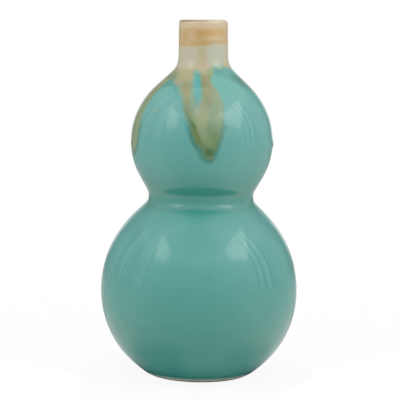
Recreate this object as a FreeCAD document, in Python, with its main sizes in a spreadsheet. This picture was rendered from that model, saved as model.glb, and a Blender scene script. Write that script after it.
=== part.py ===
import FreeCAD, Part

import os
from collections import namedtuple
from math import asin, atan2, cos, pi, sin, sqrt
from types import SimpleNamespace

import Sketcher

# A double gourd vase of glazed stoneware: a large round bulb, a small one above it and a straight neck.
# The clay is thrown in sections that are luted together with slip at the foot, at each bulb's widest
# ring, at the waist and under the neck. Coats of glaze lie on the clay inside and out. Millimetres,
# +Z up, with the origin in the middle of the foot on the surface that the vase stands on.

SIZES = {
    # Lower bulb: the height and radius of its widest ring, and the round of the wall above that ring.
    "belly_height": 56.8,
    "belly_radius": 66.4,
    "belly_bulge": 71.2,
    "belly_run": 12.8,
    # Waist between the bulbs: its radius, and the round of the hollow.
    "waist_radius": 35.1,
    "waist_hollow": 6.6,
    # Upper bulb: its widest ring, and the rounds and straight runs of the wall below and above it.
    "crown_radius": 47.7,
    "crown_under_bulge": 44.7,
    "crown_under_run": 12.7,
    "crown_bulge": 50.8,
    "crown_run": 13.3,
    # Neck: its radius, the round where it leaves the bulb, its length and the rounds of its lip.
    "neck_radius": 16.45,
    "neck_hollow": 13.8,
    "neck_length": 24.6,
    "lip_outer_round": 2.2,
    "lip_inner_round": 1.1,
    # Clay and glaze.
    "clay_wall": 3.4,
    "floor_thickness": 5.0,
    "floor_fillet": 13.0,
    "slip_layer": 0.5,
    "glaze_coat": 0.4,
    # Foot: a ring, bare of glaze at the bottom, with the glaze's edge standing out over it.
    "foot_radius": 35.0,
    "foot_width": 5.0,
    "foot_ring_height": 5.0,
    "foot_chamfer": 0.5,
    "bare_height": 1.3,
    "glaze_edge_step": 2.05,
    "base_glaze_skirt": 2.6,
    "base_glaze_corner": 1.5,
    # The brown band over the lip, outside and inside, and the drop of the pale neck glaze.
    "lip_band_outside": 17.6,
    "lip_band_inside": 8.0,
    "neck_glaze_drop": 6.0,
    # Runs of glaze that came down from the neck over the upper bulb.
    "run_thickness": 0.3,
    "front_run_angle": 6.0,
    "front_run_width": 25.0,
    "front_run_tip": 4.4,
    "front_run_length": 61.0,
    "left_run_angle": -80.0,
    "left_run_width": 21.0,
    "left_run_tip": 4.0,
    "left_run_length": 58.0,
    "back_run_angle": 152.0,
    "back_run_width": 19.0,
    "back_run_tip": 4.8,
    "back_run_length": 47.0,
    # How far a cutting outline goes past what it cuts.
    "overrun": 2.0,
}

RUNS = ("front", "left", "back")


class Size:
    """A number, with the sheet expression that it comes from."""

    def __init__(self, number, words):
        self.number = number
        self.words = words

    def joined(self, sign, other, number):
        return Size(number, f"({self.words} {sign} {other.words})")

    def __add__(self, other):
        return self.joined("+", other, self.number + other.number)

    def __sub__(self, other):
        return self.joined("-", other, self.number - other.number)

    def __truediv__(self, other):
        return self.joined("/", other, self.number / other.number)

    def times(self, count):
        return Size(self.number * count, f"({self.words} * {count})")

    def squared(self):
        return Size(self.number**2, f"({self.words}) ^ 2")

    def root(self):
        return Size(sqrt(self.number), f"sqrt({self.words})")


# A vertex of a sketch: its edge's number, its own number on that edge and its point.
Vertex = namedtuple("Vertex", "edge number point")

# A line or arc of a sketch, with the vertices at its two ends in the order in which it is drawn.
Edge = namedtuple("Edge", "index first last")


class Profile:
    """A sketch in the XZ plane of its own body, drawn going up, with every size bound to the sheet."""

    def __init__(self, body):
        self.sketch = body.newObject("Sketcher::SketchObject", "profile")
        plane = next(item for item in body.Origin.OriginFeatures if item.Role == "XZ_Plane")
        self.sketch.AttachmentSupport = [(plane, "")]
        self.sketch.MapMode = "FlatFace"
        self.rules = []
        self.bindings = []

    def rule(self, kind, *places):
        self.rules.append(Sketcher.Constraint(kind, *places))

    def bind(self, size, kind, *places):
        self.bindings.append((len(self.rules), size.words))
        self.rule(kind, *places, size.number)

    def line(self, start, end):
        places = [FreeCAD.Vector(*point, 0) for point in (start, end)]
        index = self.sketch.addGeometry(Part.LineSegment(*places), False)
        return Edge(index, Vertex(index, 1, start), Vertex(index, 2, end))

    def arc(self, centre, radius, start, end, slides=False):
        """An arc from one angle to another; its centre is bound, or slides to where the arc touches."""
        middle = FreeCAD.Vector(centre[0].number, centre[1].number, 0)
        circle = Part.Circle(middle, FreeCAD.Vector(0, 0, 1), radius.number)
        curve = Part.ArcOfCircle(circle, min(start, end), max(start, end))
        index = self.sketch.addGeometry(curve, False)
        if not slides:
            self.bind(centre[0], "DistanceX", -1, 1, index, 3)
        self.bind(centre[1], "DistanceY", -1, 1, index, 3)
        self.bind(radius, "Radius", index)
        first, last = (1, 2) if start < end else (2, 1)
        points = [middle + FreeCAD.Vector(cos(turn), sin(turn), 0) * radius.number for turn in (start, end)]
        ends = [Vertex(index, number, point[:2]) for number, point in zip((first, last), points)]
        return Edge(index, *ends)

    def height(self, vertex, size):
        self.bind(size, "DistanceY", -1, 1, *vertex[:2])

    def reach(self, vertex, size):
        self.bind(size, "DistanceX", -1, 1, *vertex[:2])

    def on_ground(self, vertex):
        """Puts a vertex on the sketch's own level line, which is its edge -1."""
        self.rule("PointOnObject", *vertex[:2], -1)

    def on_axis(self, vertex):
        """Puts a vertex on the sketch's own upright line, which is its edge -2."""
        self.rule("PointOnObject", *vertex[:2], -2)

    def meet(self, before, after):
        self.rule("Coincident", *before[:2], *after[:2])

    def tangent(self, before, after):
        self.rule("Tangent", *before[:2], *after[:2])

    def bridge(self, before, after):
        """A straight line from one vertex to another."""
        line = self.line(before.point, after.point)
        self.meet(before, line.first)
        self.meet(line.last, after)
        return line

    def chain(self, walls):
        """Stretches of wall, one above the other, with an upright layer of slip between them."""
        for below, above in zip(walls, walls[1:]):
            self.bridge(below[-1].last, above[0].first)
        return [edge for wall in walls for edge in wall]

    def close(self, one, other):
        """Closes two rows of edges into one outline, with a line at their starts and one at their ends."""
        self.bridge(one[0].first, other[0].first)
        self.bridge(one[-1].last, other[-1].last)

    def path(self, corners):
        """Straight lines through corners, whose reach and height are bound; None stands for zero."""
        points = [tuple(0 if size is None else size.number for size in corner) for corner in corners]
        lines = [self.line(*pair) for pair in zip(points, points[1:])]
        for before, after in zip(lines, lines[1:]):
            self.meet(before.last, after.first)
        vertices = [line.first for line in lines] + [lines[-1].last]
        for vertex, (reach, height) in zip(vertices, corners):
            if reach is None:
                self.on_axis(vertex)
            else:
                self.reach(vertex, reach)
            if height is None:
                self.on_ground(vertex)
            else:
                self.height(vertex, height)
        return lines

    def finish(self):
        self.sketch.addConstraint(self.rules)
        for index, words in self.bindings:
            self.sketch.setExpression(f"Constraints[{index}]", words)
        return self.sketch


class Ogee:
    """The glazed wall between a bulb's widest ring and a narrow ring.

    A round bulge leaves the widest ring upright, a straight run touches it, and a round hollow brings
    the wall upright again at the narrow ring. low and top are the heights of the two rings.
    """

    def __init__(self, low, wide, narrow, bulge, run, hollow, narrow_on_top):
        self.bulge = bulge
        self.hollow = hollow
        across = narrow + hollow - wide + bulge
        reach = bulge + hollow
        rise = (reach.squared() + run.squared() - across.squared()).root()
        self.low = low
        self.top = low + rise
        self.lean = atan2(rise.number, across.number) - atan2(run.number, reach.number)
        wide_height, narrow_height = (self.low, self.top) if narrow_on_top else (self.top, self.low)
        self.bulge_centre = (wide - bulge, wide_height)
        self.hollow_centre = (narrow + hollow, narrow_height)


def read_sizes(sheet):
    """Every driving size by name, with its number and its expression."""
    sizes = {}
    for row, (name, number) in enumerate(SIZES.items(), start=1):
        sheet.set(f"A{row}", str(number))
        sheet.setAlias(f"A{row}", name)
        sizes[name] = Size(number, f"Sizes.{name}")
    return SimpleNamespace(**sizes)


doc = FreeCAD.newDocument("double_gourd_vase")
sheet = doc.addObject("Spreadsheet::Sheet", "Sizes")
size = read_sizes(sheet)
doc.recompute()

# Depths below the glazed surface: that surface itself, the clay's two faces and the glazed inside.
surface = Size(0, "0")
clay_depth = size.glaze_coat
lining_depth = clay_depth + size.clay_wall
hollow_depth = lining_depth + size.glaze_coat

# The joints between sections, from the foot up. Each has a layer of slip above the height named here.
glaze_edge_radius = size.foot_radius + size.glaze_edge_step
foot_inner_radius = size.foot_radius - size.foot_width
base_height = size.foot_ring_height + size.slip_layer
floor_height = base_height + size.floor_thickness

lower_dome = Ogee(
    low=size.belly_height + size.slip_layer,
    wide=size.belly_radius,
    narrow=size.waist_radius,
    bulge=size.belly_bulge,
    run=size.belly_run,
    hollow=size.waist_hollow,
    narrow_on_top=True,
)
upper_bowl = Ogee(
    low=lower_dome.top + size.slip_layer,
    wide=size.crown_radius,
    narrow=size.waist_radius,
    bulge=size.crown_under_bulge,
    run=size.crown_under_run,
    hollow=size.waist_hollow,
    narrow_on_top=False,
)
upper_dome = Ogee(
    low=upper_bowl.top + size.slip_layer,
    wide=size.crown_radius,
    narrow=size.neck_radius,
    bulge=size.crown_bulge,
    run=size.crown_run,
    hollow=size.neck_hollow,
    narrow_on_top=True,
)
neck_foot = upper_dome.top + size.slip_layer
rim_height = neck_foot + size.neck_length
band_height = rim_height - size.lip_band_outside
neck_glaze_height = upper_dome.top - size.neck_glaze_drop

# The under side of the lower bulb is one arc, from the glaze's edge over the foot to the widest ring,
# where it is upright.
across_under = size.belly_radius - glaze_edge_radius
rise_under = size.belly_height - size.bare_height
under_bulge = (across_under.squared() + rise_under.squared()) / across_under.times(2)
under_centre = (size.belly_radius - under_bulge, size.belly_height)


def under_wall(profile, depth, low, top=size.belly_height):
    """The wall under the widest ring of the lower bulb, from one height up to another."""
    radius = under_bulge - depth
    turns = [-asin((size.belly_height - level).number / radius.number) for level in (low, top)]
    wall = profile.arc(under_centre, radius, *turns)
    profile.height(wall.first, low)
    profile.height(wall.last, top)
    return [wall]


def floored_wall(profile, depth):
    """The inside of the lower bowl: a flat floor from the axis, a fillet and the wall above it."""
    cover = depth - lining_depth
    radius = under_bulge - depth
    fillet = size.floor_fillet - cover
    level = floor_height + cover
    fillet_height = level + fillet
    gap = radius - fillet
    drop = size.belly_height - fillet_height
    fillet_reach = under_centre[0] + (gap.squared() - drop.squared()).root()
    turn = -asin(drop.number / gap.number)
    bend = profile.arc((fillet_reach, fillet_height), fillet, -pi / 2, turn, slides=True)
    wall = profile.arc(under_centre, radius, turn, 0)
    floor = profile.line((0, level.number), bend.first.point)
    profile.on_axis(floor.first)
    profile.height(floor.first, level)
    profile.meet(floor.last, bend.first)
    profile.rule("Vertical", bend.index, 3, *bend.first[:2])
    profile.tangent(bend.last, wall.first)
    profile.height(wall.last, size.belly_height)
    return [floor, bend, wall]


def ogee_wall(profile, below, above):
    """Joins the two arcs of an ogee with the run that touches both."""
    run = profile.line(below.last.point, above.first.point)
    profile.tangent(below.last, run.first)
    profile.tangent(run.last, above.first)
    return [below, run, above]


def dome_wall(profile, ogee, depth, stop=None):
    """The wall from a widest ring up to the narrow ring over it, or to a height in its hollow."""
    stop = stop or ogee.top
    radius = ogee.hollow + depth
    last = pi + asin((ogee.top - stop).number / radius.number)
    bulge = profile.arc(ogee.bulge_centre, ogee.bulge - depth, 0, ogee.lean)
    hollow = profile.arc(ogee.hollow_centre, radius, pi + ogee.lean, last)
    profile.height(bulge.first, ogee.low)
    profile.height(hollow.last, stop)
    return ogee_wall(profile, bulge, hollow)


def bowl_wall(profile, ogee, depth):
    """The wall from a narrow ring up to the widest ring over it."""
    hollow = profile.arc(ogee.hollow_centre, ogee.hollow + depth, pi, pi - ogee.lean)
    bulge = profile.arc(ogee.bulge_centre, ogee.bulge - depth, -ogee.lean, 0)
    profile.height(hollow.first, ogee.low)
    profile.height(bulge.last, ogee.top)
    return ogee_wall(profile, hollow, bulge)


def neck_root(profile, depth):
    """The upper part of the hollow under the neck, above the drop of the neck's glaze."""
    radius = upper_dome.hollow + depth
    start = pi + asin(size.neck_glaze_drop.number / radius.number)
    root = profile.arc(upper_dome.hollow_centre, radius, start, pi)
    profile.height(root.first, neck_glaze_height)
    profile.height(root.last, upper_dome.top)
    return [root]


def neck_wall(profile, depth, below, stop):
    """The upright wall of the neck, from the edge below it up to a height."""
    reach = size.neck_radius - depth
    wall = profile.line(below.last.point, (reach.number, stop.number))
    profile.meet(below.last, wall.first)
    profile.reach(wall.last, reach)
    profile.height(wall.last, stop)
    return [wall]


def lip(profile, cover, outside, inside):
    """The neck's wall from a height outside, over the lip and down to a height inside.

    The wall is the clay's under its cover of glaze, or the glazed one where the cover is zero.
    """
    outer_reach = size.neck_radius - cover
    inner_reach = size.neck_radius - hollow_depth + cover
    outer_centre = (size.neck_radius - size.lip_outer_round, rim_height - size.lip_outer_round)
    inner_centre = (size.neck_radius - hollow_depth + size.lip_inner_round, rim_height - size.lip_inner_round)
    outer = profile.arc(outer_centre, size.lip_outer_round - cover, 0, pi / 2)
    inner = profile.arc(inner_centre, size.lip_inner_round - cover, pi / 2, pi)
    profile.height(outer.first, outer_centre[1])
    profile.reach(outer.last, outer_centre[0])
    profile.reach(inner.first, inner_centre[0])
    profile.height(inner.last, inner_centre[1])
    up = profile.line((outer_reach.number, outside.number), outer.first.point)
    down = profile.line(inner.last.point, (inner_reach.number, inside.number))
    for vertex, reach, height in ((up.first, outer_reach, outside), (down.last, inner_reach, inside)):
        profile.reach(vertex, reach)
        profile.height(vertex, height)
    profile.meet(up.last, outer.first)
    profile.bridge(outer.last, inner.first)
    profile.meet(inner.last, down.first)
    return [up, outer, inner, down]


def turned(name, draw):
    """A body whose profile is turned about the vase's axis."""
    body = doc.addObject("PartDesign::Body", name)
    body.Label = name
    profile = Profile(body)
    draw(profile)
    sketch = profile.finish()
    revolution = body.newObject("PartDesign::Revolution", "turning")
    revolution.Profile = sketch
    revolution.ReferenceAxis = (sketch, ["V_Axis"])
    revolution.Angle = 360
    sketch.Visibility = False
    return body


def draw_foot_ring(profile):
    outside = under_wall(profile, clay_depth, size.bare_height, size.foot_ring_height)
    corners = [
        (size.foot_radius, size.bare_height),
        (size.foot_radius, size.foot_chamfer),
        (size.foot_radius - size.foot_chamfer, None),
        (foot_inner_radius + size.foot_chamfer, None),
        (foot_inner_radius, size.foot_chamfer),
        (foot_inner_radius, size.foot_ring_height),
    ]
    profile.close(outside, profile.path(corners))


def draw_foot_slip(profile):
    outside = under_wall(profile, clay_depth, size.foot_ring_height, base_height)
    inside = profile.path([(foot_inner_radius, size.foot_ring_height), (foot_inner_radius, base_height)])
    profile.close(outside, inside)


def draw_lower_bowl(profile):
    outside = under_wall(profile, clay_depth, base_height)
    inside = floored_wall(profile, lining_depth)
    middle = profile.line((0, base_height.number), inside[0].first.point)
    profile.on_axis(middle.first)
    profile.height(middle.first, base_height)
    profile.meet(middle.last, inside[0].first)
    profile.close(outside, [middle] + inside)


def draw_lower_dome(profile):
    profile.close(*[dome_wall(profile, lower_dome, depth) for depth in (clay_depth, lining_depth)])


def draw_upper_bowl(profile):
    profile.close(*[bowl_wall(profile, upper_bowl, depth) for depth in (clay_depth, lining_depth)])


def draw_upper_dome(profile):
    profile.close(*[dome_wall(profile, upper_dome, depth) for depth in (clay_depth, lining_depth)])


def draw_neck(profile):
    edges = lip(profile, clay_depth, neck_foot, neck_foot)
    profile.bridge(edges[0].first, edges[-1].last)


def slip_ring(radius, low):
    """The layer of slip between the edges of two sections, flush with the clay on both sides."""

    def draw(profile):
        heights = (low, low + size.slip_layer)
        reaches = (radius - clay_depth, radius - lining_depth)
        profile.close(*[profile.path([(reach, height) for height in heights]) for reach in reaches])

    return draw


def draw_turquoise_glaze(profile):
    surfaces = []
    for depth in (surface, clay_depth):
        walls = [
            under_wall(profile, depth, size.bare_height),
            dome_wall(profile, lower_dome, depth),
            bowl_wall(profile, upper_bowl, depth),
            dome_wall(profile, upper_dome, depth, neck_glaze_height),
        ]
        surfaces.append(profile.chain(walls))
    profile.close(*surfaces)


def draw_neck_glaze(profile):
    surfaces = []
    for depth in (surface, clay_depth):
        root = neck_root(profile, depth)
        surfaces.append(root + neck_wall(profile, depth, root[-1], band_height))
    profile.close(*surfaces)


def draw_lip_band(profile):
    inside_end = rim_height - size.lip_band_inside
    profile.close(*[lip(profile, cover, band_height, inside_end) for cover in (surface, clay_depth)])


def draw_interior_glaze(profile):
    surfaces = []
    for depth in (lining_depth, hollow_depth):
        walls = [
            floored_wall(profile, depth),
            dome_wall(profile, lower_dome, depth),
            bowl_wall(profile, upper_bowl, depth),
            dome_wall(profile, upper_dome, depth),
        ]
        edges = profile.chain(walls)
        surfaces.append(edges + neck_wall(profile, depth, edges[-1], rim_height - size.lip_band_inside))
    profile.close(*surfaces)


def draw_base_glaze(profile):
    """A shallow cap of glaze under the floor, with a skirt down the inner face of the foot."""
    level = base_height - size.glaze_coat
    edge = base_height - size.base_glaze_skirt
    reach = foot_inner_radius - size.glaze_coat
    centre = (reach - size.base_glaze_corner, level - size.base_glaze_corner)
    corner = profile.arc(centre, size.base_glaze_corner, 0, pi / 2)
    profile.height(corner.first, centre[1])
    profile.reach(corner.last, centre[0])
    corners = [
        (reach, edge),
        (foot_inner_radius, edge),
        (foot_inner_radius, base_height),
        (None, base_height),
        (None, level),
    ]
    profile.close(profile.path(corners), [corner])


def draw_run_shell(profile):
    """The thin layer over the upper bulb that every run of glaze is a tongue of."""
    surfaces = []
    for depth in (surface - size.run_thickness, surface):
        walls = [
            bowl_wall(profile, upper_bowl, depth),
            dome_wall(profile, upper_dome, depth, neck_glaze_height),
        ]
        surfaces.append(profile.chain(walls))
    profile.close(*surfaces)


def tongue(name, width, tip, length, angle):
    """A block whose front outline is a tongue: a broad top, straight sides and a round tip."""
    body = doc.addObject("PartDesign::Body", name)
    profile = Profile(body)
    top = neck_glaze_height + size.overrun
    tip_height = neck_glaze_height - length + tip
    half = width.times(0.5)
    rise = (top - tip_height).number
    away = sqrt(half.number**2 + rise**2)
    side = atan2(rise, half.number) - atan2(sqrt(away**2 - tip.number**2), tip.number)
    round_tip = profile.arc((surface, tip_height), tip, -pi - side, side)
    right = profile.line(round_tip.last.point, (half.number, top.number))
    left = profile.line((-half.number, top.number), round_tip.first.point)
    profile.tangent(round_tip.last, right.first)
    profile.tangent(left.last, round_tip.first)
    for vertex, reach in ((right.last, half), (left.first, surface - half)):
        profile.reach(vertex, reach)
        profile.height(vertex, top)
    profile.bridge(right.last, left.first)
    pad = body.newObject("PartDesign::Pad", "block")
    pad.Profile = profile.finish()
    pad.setExpression("Length", (size.crown_radius + size.overrun).words)
    body.setExpression("Placement.Rotation.Angle", angle.words)
    body.Placement = FreeCAD.Placement(FreeCAD.Vector(), FreeCAD.Vector(0, 0, 1), angle.number)
    return body


def glaze_run(side, shell):
    """A run of glaze on one side of the upper bulb."""
    sizes = [getattr(size, f"{side}_run_{name}") for name in ("width", "tip", "length", "angle")]
    run = doc.addObject("Part::Common", f"{side}_glaze_run")
    run.Label = f"{side}_glaze_run"
    run.Base = shell
    run.Tool = tongue(f"{side}_tongue", *sizes)
    return run


turned_parts = {
    "foot_ring": draw_foot_ring,
    "foot_joint_slip": draw_foot_slip,
    "lower_bowl": draw_lower_bowl,
    "lower_belly_joint_slip": slip_ring(size.belly_radius, size.belly_height),
    "lower_dome": draw_lower_dome,
    "waist_joint_slip": slip_ring(size.waist_radius, lower_dome.top),
    "upper_bowl": draw_upper_bowl,
    "upper_belly_joint_slip": slip_ring(size.crown_radius, upper_bowl.top),
    "upper_dome": draw_upper_dome,
    "neck_joint_slip": slip_ring(size.neck_radius, upper_dome.top),
    "neck": draw_neck,
    "turquoise_glaze": draw_turquoise_glaze,
    "neck_glaze": draw_neck_glaze,
    "lip_band": draw_lip_band,
    "interior_glaze": draw_interior_glaze,
    "base_glaze": draw_base_glaze,
}
parts = [turned(name, draw) for name, draw in turned_parts.items()]
run_shell = turned("run_shell", draw_run_shell)
parts += [glaze_run(side, run_shell) for side in RUNS]
doc.recompute()

failed = [item.Name for item in doc.Objects if {"Invalid", "Error"} & set(item.State)]
if failed:
    raise RuntimeError("these objects did not build: " + ", ".join(failed))
for part in parts:
    if part.Shape.isNull() or not part.Shape.isValid() or len(part.Shape.Solids) != 1:
        raise RuntimeError(part.Label + " is not one valid solid")

os.makedirs("parts", exist_ok=True)
for part in parts:
    part.Shape.exportStep(f"parts/{part.Label}.step")
    print(f"{part.Label}: {part.Shape.Volume:.1f} mm3")
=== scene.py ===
from math import atan2, cos, pi, radians, sin, sqrt

import bpy
import numpy as np
from mathutils import Matrix, Vector


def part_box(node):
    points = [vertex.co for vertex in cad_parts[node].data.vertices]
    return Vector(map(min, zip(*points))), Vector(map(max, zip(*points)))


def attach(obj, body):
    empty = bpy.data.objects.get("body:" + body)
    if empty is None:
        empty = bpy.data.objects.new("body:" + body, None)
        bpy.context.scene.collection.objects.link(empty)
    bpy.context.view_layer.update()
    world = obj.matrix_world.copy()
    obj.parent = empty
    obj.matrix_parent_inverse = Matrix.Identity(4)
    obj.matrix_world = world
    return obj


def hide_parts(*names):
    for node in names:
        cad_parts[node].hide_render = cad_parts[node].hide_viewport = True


# A double gourd vase of glazed stoneware. Its clay sections, the slip between them and the lining of the
# hollow are shown as packed, with materials. The glaze outside, its runs, the foot and the glaze under
# the floor are meshes made here over the same outline. Sizes are in millimetres, and MM makes them
# metres. A turn is an angle about the axis, from the front and positive to the right. Along is the
# distance up the glazed wall, from the glaze's edge over the foot, over the lip and down inside.

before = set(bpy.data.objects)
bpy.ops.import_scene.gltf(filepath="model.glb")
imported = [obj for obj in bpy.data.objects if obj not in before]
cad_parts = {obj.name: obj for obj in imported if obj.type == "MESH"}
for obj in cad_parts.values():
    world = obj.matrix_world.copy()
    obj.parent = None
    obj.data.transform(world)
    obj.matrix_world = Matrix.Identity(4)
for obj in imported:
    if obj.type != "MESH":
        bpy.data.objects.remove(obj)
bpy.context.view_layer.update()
MM = 0.001


def reach(node):
    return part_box(node)[1].x / MM


def bottom(node):
    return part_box(node)[0].z / MM


def top(node):
    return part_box(node)[1].z / MM


# The rounds of the outline, as the solids have them.
BELLY_BULGE = 71.2
WAIST_HOLLOW = 6.6
CROWN_UNDER_BULGE = 44.7
CROWN_BULGE = 50.8
NECK_HOLLOW = 13.8
LIP_OUTER_ROUND = 3.0
LIP_INNER_ROUND = 1.1

# Rings of the outline: radii and heights, read from the solids.
COAT = reach("turquoise_glaze") - reach("lower_belly_joint_slip")
BELLY = reach("turquoise_glaze")
BELLY_LOW = bottom("lower_belly_joint_slip")
BELLY_HIGH = top("lower_belly_joint_slip")
WAIST = reach("waist_joint_slip") + COAT
WAIST_LOW = bottom("waist_joint_slip")
WAIST_HIGH = top("waist_joint_slip")
CROWN = reach("upper_belly_joint_slip") + COAT
CROWN_LOW = bottom("upper_belly_joint_slip")
CROWN_HIGH = top("upper_belly_joint_slip")
NECK = reach("lip_band")
NECK_LOW = bottom("neck_joint_slip")
RIM = top("lip_band")
BORE = reach("neck") + COAT - (reach("lower_belly_joint_slip") - reach("interior_glaze")) - 2 * COAT
EDGE_HEIGHT = bottom("turquoise_glaze")
EDGE_REACH = 37.05
EDGE_BEAD = 0.55
BEAD_START = radians(-200)
BAND_INSIDE = 8.0
FINE = 0.05

# How widely the changes of curvature are eased, and between which heights they are eased most.
SHARP_SPREAD = 0.12
SOFT_SPREAD = 1.8
SOFT_FROM = (4, 9)
SOFT_UP_TO = (NECK_LOW + 6, NECK_LOW + 14)


def smoothstep(low, high, value):
    share = np.clip((value - low) / (high - low), 0, 1)
    return share * share * (3 - 2 * share)


def arc(centre, radius, start, end):
    """Points of an outline, as reach and height, along an arc."""
    turns = np.linspace(start, end, int(abs(end - start) * radius / FINE) + 2)
    return np.stack([centre[0] + radius * np.cos(turns), centre[1] + radius * np.sin(turns)], axis=1)


def ogee(wide, narrow, bulge, hollow, low, high, narrow_on_top):
    """A wall that bulges out to its widest ring and hollows in to its narrow one, going up."""
    rise = high - low
    across = narrow + hollow - wide + bulge
    span = bulge + hollow
    run = sqrt(rise**2 + across**2 - span**2)
    lean = atan2(rise, across) - atan2(run, span)
    wall = np.concatenate([
        arc((wide - bulge, 0), bulge, 0, lean),
        arc((narrow + hollow, rise), hollow, pi + lean, pi),
    ])
    if narrow_on_top:
        return wall + [0, low]
    return (wall * [1, -1] + [0, high])[::-1]


def evenly(points, step):
    """The same line as points, with points a step apart."""
    lengths = np.concatenate([[0], np.cumsum(np.hypot(*np.diff(points, axis=0).T))])
    spots = np.linspace(0, lengths[-1], int(lengths[-1] / step) + 1)
    return np.stack([np.interp(spots, lengths, column) for column in points.T], axis=1)


def softened(points, spread):
    """The line with its changes of curvature eased over a spread in millimetres."""
    count = int(3 * spread / FINE)
    weights = np.exp(-0.5 * (np.arange(-count, count + 1) * FINE / spread) ** 2)
    weights /= weights.sum()
    padded = np.pad(points, ((count, count), (0, 0)), mode="reflect", reflect_type="odd")
    return np.stack([np.convolve(column, weights, mode="valid") for column in padded.T], axis=1)


def draw_outline():
    """The glazed wall's outline: the bead at the foot, the bulbs, the neck and the lip."""
    fall = BELLY_LOW - EDGE_HEIGHT
    width = BELLY - EDGE_REACH
    under = (width**2 + fall**2) / (2 * width)
    start = -np.arcsin(fall / under)
    bead = (EDGE_REACH - EDGE_BEAD * cos(start), EDGE_HEIGHT - EDGE_BEAD * sin(start))
    points = evenly(np.concatenate([
        arc(bead, EDGE_BEAD, BEAD_START, start),
        arc((BELLY - under, BELLY_LOW), under, start, 0),
        ogee(BELLY, WAIST, BELLY_BULGE, WAIST_HOLLOW, BELLY_HIGH, WAIST_LOW, True),
        ogee(CROWN, WAIST, CROWN_UNDER_BULGE, WAIST_HOLLOW, WAIST_HIGH, CROWN_LOW, False),
        ogee(CROWN, NECK, CROWN_BULGE, NECK_HOLLOW, CROWN_HIGH, NECK_LOW, True),
        arc((NECK - LIP_OUTER_ROUND, RIM - LIP_OUTER_ROUND), LIP_OUTER_ROUND, 0, pi / 2),
        arc((BORE + LIP_INNER_ROUND, RIM - LIP_INNER_ROUND), LIP_INNER_ROUND, pi / 2, pi),
        [[BORE, RIM - BAND_INSIDE]],
    ]), FINE)
    heights = points[:, 1]
    share = smoothstep(*SOFT_FROM, heights) * (1 - smoothstep(*SOFT_UP_TO, heights))
    sharp, soft = softened(points, SHARP_SPREAD), softened(points, SOFT_SPREAD)
    return evenly(sharp + share[:, None] * (soft - sharp), FINE)


OUTLINE = draw_outline()
REACH, HEIGHT = OUTLINE.T
ALONG = np.concatenate([[0], np.cumsum(np.hypot(*np.diff(OUTLINE, axis=0).T))])
OUT_REACH, OUT_HEIGHT = np.gradient(HEIGHT, ALONG), -np.gradient(REACH, ALONG)
WALL = (OUT_REACH, OUT_HEIGHT, REACH, HEIGHT)
LOWEST = int(np.argmin(HEIGHT))
PEAK = int(np.argmax(HEIGHT))


def along_at(height):
    """How far along the outside wall a height is."""
    return np.interp(height, HEIGHT[LOWEST:PEAK], ALONG[LOWEST:PEAK])


WALL_END = ALONG[-1]
STILL_START = ALONG[PEAK] + 3
LIP_START = along_at(RIM - LIP_OUTER_ROUND)
COAT_TOP = along_at(top("turquoise_glaze"))
BAND_START = along_at(bottom("lip_band"))

# How far the axis of the vase strays to the right, by height, and how far its wall stands out beyond
# the even outline on the left, on the right and at the front.
SWAY = {0: 0.0, 57: -0.15, 121: 0.0, 158: 0.1, 215: 0.2, 240: 0.2}
SWELL_LEFT = {
    0: -0.05, 5: -0.15, 10: 0.1, 17: 0.5, 30: 0.45, 57: 0.6, 80: 0.5, 100: 0.4, 110: 0.4, 118: 0,
    128: 0, 135: 0.1, 150: 0, 165: 0.15, 180: 0.1, 190: 0, 240: 0,
}
SWELL_RIGHT = {
    0: -0.05, 5: -0.2, 11: -0.05, 18: 0.1, 30: 0.1, 57: 0.1, 95: 0.05, 112: 0.2, 119: 0.15, 126: 0.35,
    132: 0.5, 140: 0.35, 150: 0.2, 157: 0.25, 165: 0.3, 175: 0.45, 185: 0.4, 193: 0.5, 201: 0.8,
    208: 0.75, 216: 0.5, 225: 0.2, 234: 0, 240: 0,
}
SWELL_FRONT = {0: 0, 112: 0, 118: -0.1, 124.2: -0.12, 129.8: 0.34, 136: 0.3, 152: 0, 240: 0}
SIDE_SPAN = (-0.1, 1)
FRONT_SPAN = (0.15, 0.6)
SWELL_EASE = 2.5
# Slow waves round the wall: height, number round it, start and the rise over which each one turns.
WAVES = ((0.09, 2, 0.7, 90), (0.055, 3, 1.9, -38), (0.035, 5, 0, 21))
WAVES_FROM = (4, 20)
RIM_DIP = 0.15
CROWN_RIDGE = 0.75
RIDGE_SPREAD = 2.6
RIDGE_SPAN = (0.35, 1)


def sway(height):
    stations, shifts = list(SWAY), list(SWAY.values())
    return sum(
        (after - before) * smoothstep(low, high, height)
        for low, high, before, after in zip(stations, stations[1:], shifts, shifts[1:])
    )


def eased(stations):
    """Values along the wall that pass softly from station to station of the outside height."""
    values = np.interp(HEIGHT, list(stations), list(stations.values()))
    values[PEAK:] = 0
    return softened(values[:, None], SWELL_EASE)[:, 0]


LEFT_OUT = eased(SWELL_LEFT)
RIGHT_OUT = eased(SWELL_RIGHT)
FRONT_OUT = eased(SWELL_FRONT)


def unevenness(turn, along, height):
    """How far the hand-turned wall stands out from its outline, in millimetres."""
    swell = smoothstep(*SIDE_SPAN, -np.sin(turn)) * np.interp(along, ALONG, LEFT_OUT)
    swell += smoothstep(*SIDE_SPAN, np.sin(turn)) * np.interp(along, ALONG, RIGHT_OUT)
    swell += smoothstep(*FRONT_SPAN, np.cos(turn)) * np.interp(along, ALONG, FRONT_OUT)
    slow = sum(size * np.sin(count * turn + start + height / rise) for size, count, start, rise in WAVES)
    slow *= smoothstep(*WAVES_FROM, along) * (1 - smoothstep(LIP_START, WALL_END, along))
    off_ring = along - along_at(CROWN_LOW)
    ridge = CROWN_RIDGE * np.exp(-((off_ring / RIDGE_SPREAD) ** 2)) * smoothstep(*RIDGE_SPAN, np.sin(turn))
    return slow + ridge + swell


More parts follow.
